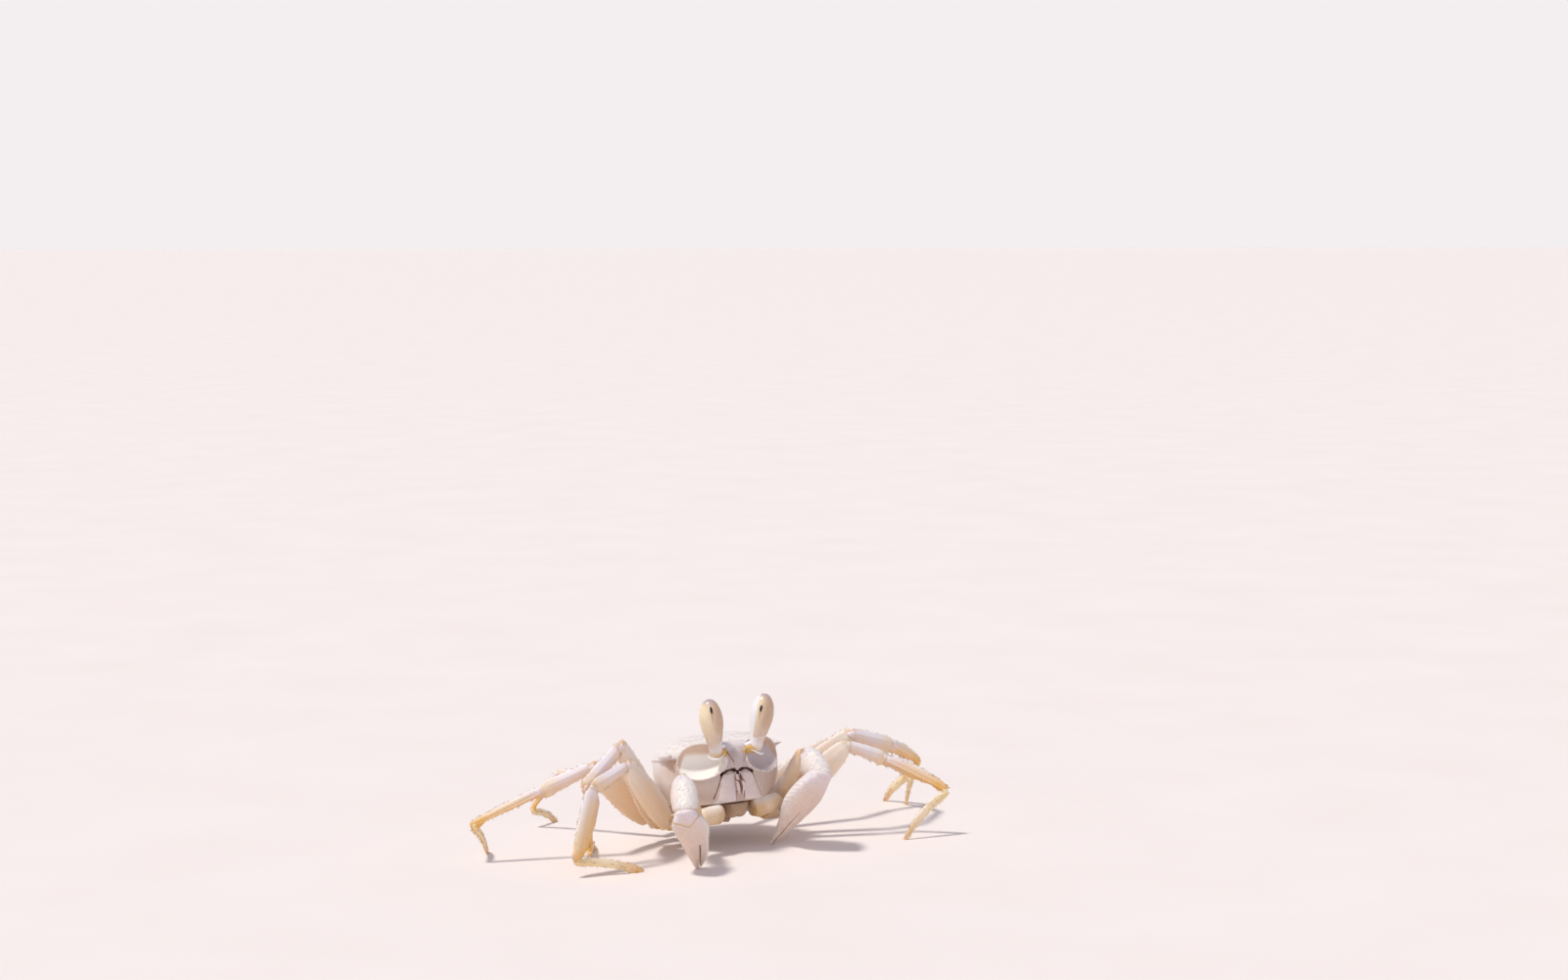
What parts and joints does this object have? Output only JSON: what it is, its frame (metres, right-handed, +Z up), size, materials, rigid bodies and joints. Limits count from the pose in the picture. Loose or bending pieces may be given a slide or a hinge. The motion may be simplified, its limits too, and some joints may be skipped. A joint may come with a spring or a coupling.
{
  "type": "ghost crab",
  "caption": "Life-size still model of a pale ghost crab standing on bent legs with its eyes raised and both claw tips on the ground.",
  "frame": {"origin": "middle of the crab's box on the ground, under the body", "axes": "+Z up, the face looks along -Y, the crab's left side is +X"},
  "size_m": [0.0916, 0.0508, 0.0275],
  "materials": {
    "shell": "pale, finely grained horny shell, matt",
    "under": "thin pale brown shell of the underside, matt",
    "leg": "cream to ochre horny shell, slightly glossy",
    "leg_tip": "golden translucent horn, slightly glossy",
    "claw": "white, finely grained shell, slightly glossy",
    "mouth": "smooth lilac-grey shell plates, matt",
    "stalk": "white smooth shell, slightly glossy",
    "cornea": "tan eye surface, glossy"
  },
  "bodies": {
    "root": {"carapace": "shell", "sternum": "under", "abdomen": "under", "maxilliped_right": "mouth", "eyestalk_right": "stalk", "cornea_right": "cornea", "claw_right_ischium": "claw", "claw_right_merus": "claw", "claw_right_carpus": "claw", "claw_right_hand": "claw", "claw_right_finger": "claw", "leg1_right_coxa": "leg", "leg1_right_merus": "leg", "leg1_right_carpus": "leg", "leg1_right_propodus": "leg", "leg1_right_dactylus": "leg_tip", "leg2_right_coxa": "leg", "leg2_right_merus": "leg", "leg2_right_carpus": "leg", "leg2_right_propodus": "leg", "leg2_right_dactylus": "leg_tip", "leg3_right_coxa": "leg", "leg3_right_merus": "leg", "leg3_right_carpus": "leg", "leg3_right_propodus": "leg", "leg3_right_dactylus": "leg_tip", "leg4_right_coxa": "leg", "leg4_right_merus": "leg", "leg4_right_carpus": "leg", "leg4_right_propodus": "leg", "leg4_right_dactylus": "leg_tip", "maxilliped_left": "mouth", "eyestalk_left": "stalk", "cornea_left": "cornea", "claw_left_ischium": "claw", "claw_left_merus": "claw", "claw_left_carpus": "claw", "claw_left_hand": "claw", "claw_left_finger": "claw", "leg1_left_coxa": "leg", "leg1_left_merus": "leg", "leg1_left_carpus": "leg", "leg1_left_propodus": "leg", "leg1_left_dactylus": "leg_tip", "leg2_left_coxa": "leg", "leg2_left_merus": "leg", "leg2_left_carpus": "leg", "leg2_left_propodus": "leg", "leg2_left_dactylus": "leg_tip", "leg3_left_coxa": "leg", "leg3_left_merus": "leg", "leg3_left_carpus": "leg", "leg3_left_propodus": "leg", "leg3_left_dactylus": "leg_tip", "leg4_left_coxa": "leg", "leg4_left_merus": "leg", "leg4_left_carpus": "leg", "leg4_left_propodus": "leg", "leg4_left_dactylus": "leg_tip"}
  },
  "joints": []
}
